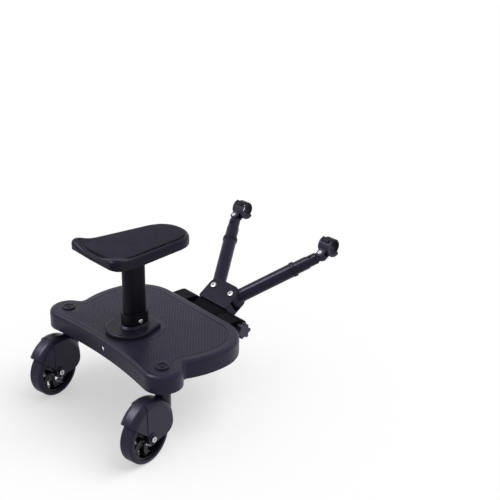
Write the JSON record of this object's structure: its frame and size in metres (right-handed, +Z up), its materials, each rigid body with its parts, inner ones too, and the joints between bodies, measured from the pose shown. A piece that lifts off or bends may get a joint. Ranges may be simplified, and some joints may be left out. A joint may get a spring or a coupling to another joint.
{
  "type": "buggy board",
  "caption": "Ride-on board with a saddle seat on a post, swivel casters at the rear and telescopic tow arms that clamp to a pushchair axle.",
  "frame": {"origin": "middle of the footprint, on the floor under the wheels", "axes": "+X to the board's right along the hitch rod and the towing axle, +Y forward to the axle, +Z up"},
  "size_m": [0.4372, 0.6382, 0.4064],
  "materials": {
    "deck_plastic": "fine satin texture",
    "black_plastic": "satin",
    "grey_plastic": "satin",
    "black_tube": "satin powder coat",
    "wheel_plastic": "glossy",
    "tyre_rubber": "matt",
    "pad_foam": "fine matt grain",
    "strap_rubber": "matt",
    "zinc_steel": "bright zinc"
  },
  "bodies": {
    "deck": {"deck": "deck_plastic", "lug_screws": "zinc_steel", "seat_base": "deck_plastic", "seat_base_screws": "zinc_steel", "seat_post": "black_tube", "seat_bolt": "zinc_steel", "seat_nut": "zinc_steel", "seat_shell": "deck_plastic", "seat_pad": "pad_foam", "hinge_rod": "zinc_steel", "rod_nut": "zinc_steel", "hinge_lug_left": "black_plastic", "hinge_lug_right": "black_plastic", "swivel_bush_left": "black_plastic", "swivel_bush_right": "black_plastic", "caster_cap_left": "deck_plastic", "caster_cap_right": "deck_plastic"},
    "bracket": {"hinge_block": "black_plastic", "hinge_channel": "black_tube", "channel_screws": "zinc_steel", "pivot_bolts": "zinc_steel", "pivot_nuts": "zinc_steel"},
    "knob": {"clamp_knob": "black_plastic"},
    "caster_left": {"caster_fork_left": "deck_plastic", "kingpin_left": "zinc_steel", "kingpin_nut_left": "zinc_steel", "axle_bolt_left": "zinc_steel", "axle_nut_left": "zinc_steel"},
    "wheel_left": {"wheel_hub_left": "wheel_plastic", "wheel_bearings_left": "zinc_steel", "tyre_left": "tyre_rubber"},
    "arm_left": {"arm_knuckle_left": "black_plastic", "arm_tube_left": "black_tube", "arm_collar_left": "black_plastic"},
    "slide_left": {"slide_tube_left": "black_tube", "connector_stub_left": "black_tube", "snap_spring_left": "zinc_steel"},
    "button_left": {"snap_button_left": "black_plastic"},
    "cradle_left": {"axle_cradle_left": "grey_plastic", "cradle_pin_left": "zinc_steel", "axle_strap_left": "strap_rubber"},
    "caster_right": {"caster_fork_right": "deck_plastic", "kingpin_right": "zinc_steel", "kingpin_nut_right": "zinc_steel", "axle_bolt_right": "zinc_steel", "axle_nut_right": "zinc_steel"},
    "wheel_right": {"wheel_hub_right": "wheel_plastic", "wheel_bearings_right": "zinc_steel", "tyre_right": "tyre_rubber"},
    "arm_right": {"arm_knuckle_right": "black_plastic", "arm_tube_right": "black_tube", "arm_collar_right": "black_plastic"},
    "slide_right": {"slide_tube_right": "black_tube", "connector_stub_right": "black_tube", "snap_spring_right": "zinc_steel"},
    "button_right": {"snap_button_right": "black_plastic"},
    "cradle_right": {"axle_cradle_right": "grey_plastic", "cradle_pin_right": "zinc_steel", "axle_strap_right": "strap_rubber"}
  },
  "joints": [
    {"name": "hitch_pitch", "type": "hinge", "parent": "deck", "child": "bracket", "pos_m": [0, 0.07048, 0.163], "axis": [1, 0, 0], "range_deg": [-50, 56]},
    {"name": "knob_turn", "type": "hinge", "parent": "deck", "child": "knob", "pos_m": [0.1043, 0.07048, 0.163], "axis": [1, 0, 0], "range_deg": [0, 360]},
    {"name": "caster_swivel_left", "type": "hinge", "parent": "deck", "child": "caster_left", "pos_m": [-0.175, -0.19952, 0.154], "axis": [0, 0, 1], "continuous": true},
    {"name": "wheel_spin_left", "type": "hinge", "parent": "caster_left", "child": "wheel_left", "pos_m": [-0.16201, -0.2581, 0.06], "axis": [0.9763, 0.2164, 0], "continuous": true},
    {"name": "arm_swing_left", "type": "hinge", "parent": "bracket", "child": "arm_left", "pos_m": [-0.03, 0.11773, 0.19487], "axis": [0, -0.5592, 0.829], "range_deg": [-28, 33]},
    {"name": "arm_slide_left", "type": "slide", "parent": "arm_left", "child": "slide_left", "axis": [-0.5299, 0.7031, 0.4742], "range_m": [-0.022, 0.055]},
    {"name": "snap_press_left", "type": "slide", "parent": "slide_left", "child": "button_left", "axis": [0, -0.5592, 0.829], "range_m": [-0.004, 0], "stiffness_N_per_m": 400, "springref_m": 0.003, "deforming": ["snap_spring_left"]},
    {"name": "cradle_swivel_left", "type": "hinge", "parent": "slide_left", "child": "cradle_left", "pos_m": [-0.1487, 0.27522, 0.3011], "axis": [0, -0.5592, 0.829], "range_deg": [-33, 28]},
    {"name": "caster_swivel_right", "type": "hinge", "parent": "deck", "child": "caster_right", "pos_m": [0.175, -0.19952, 0.154], "axis": [0, 0, 1], "continuous": true},
    {"name": "wheel_spin_right", "type": "hinge", "parent": "caster_right", "child": "wheel_right", "pos_m": [0.18799, -0.2581, 0.06], "axis": [0.9763, 0.2164, 0], "continuous": true},
    {"name": "arm_swing_right", "type": "hinge", "parent": "bracket", "child": "arm_right", "pos_m": [0.03, 0.11773, 0.19487], "axis": [0, -0.5592, 0.829], "range_deg": [-33, 28]},
    {"name": "arm_slide_right", "type": "slide", "parent": "arm_right", "child": "slide_right", "axis": [0.5299, 0.7031, 0.4742], "range_m": [-0.022, 0.055]},
    {"name": "snap_press_right", "type": "slide", "parent": "slide_right", "child": "button_right", "axis": [0, -0.5592, 0.829], "range_m": [-0.004, 0], "stiffness_N_per_m": 400, "springref_m": 0.003, "deforming": ["snap_spring_right"]},
    {"name": "cradle_swivel_right", "type": "hinge", "parent": "slide_right", "child": "cradle_right", "pos_m": [0.1487, 0.27522, 0.3011], "axis": [0, -0.5592, 0.829], "range_deg": [-28, 33]}
  ]
}
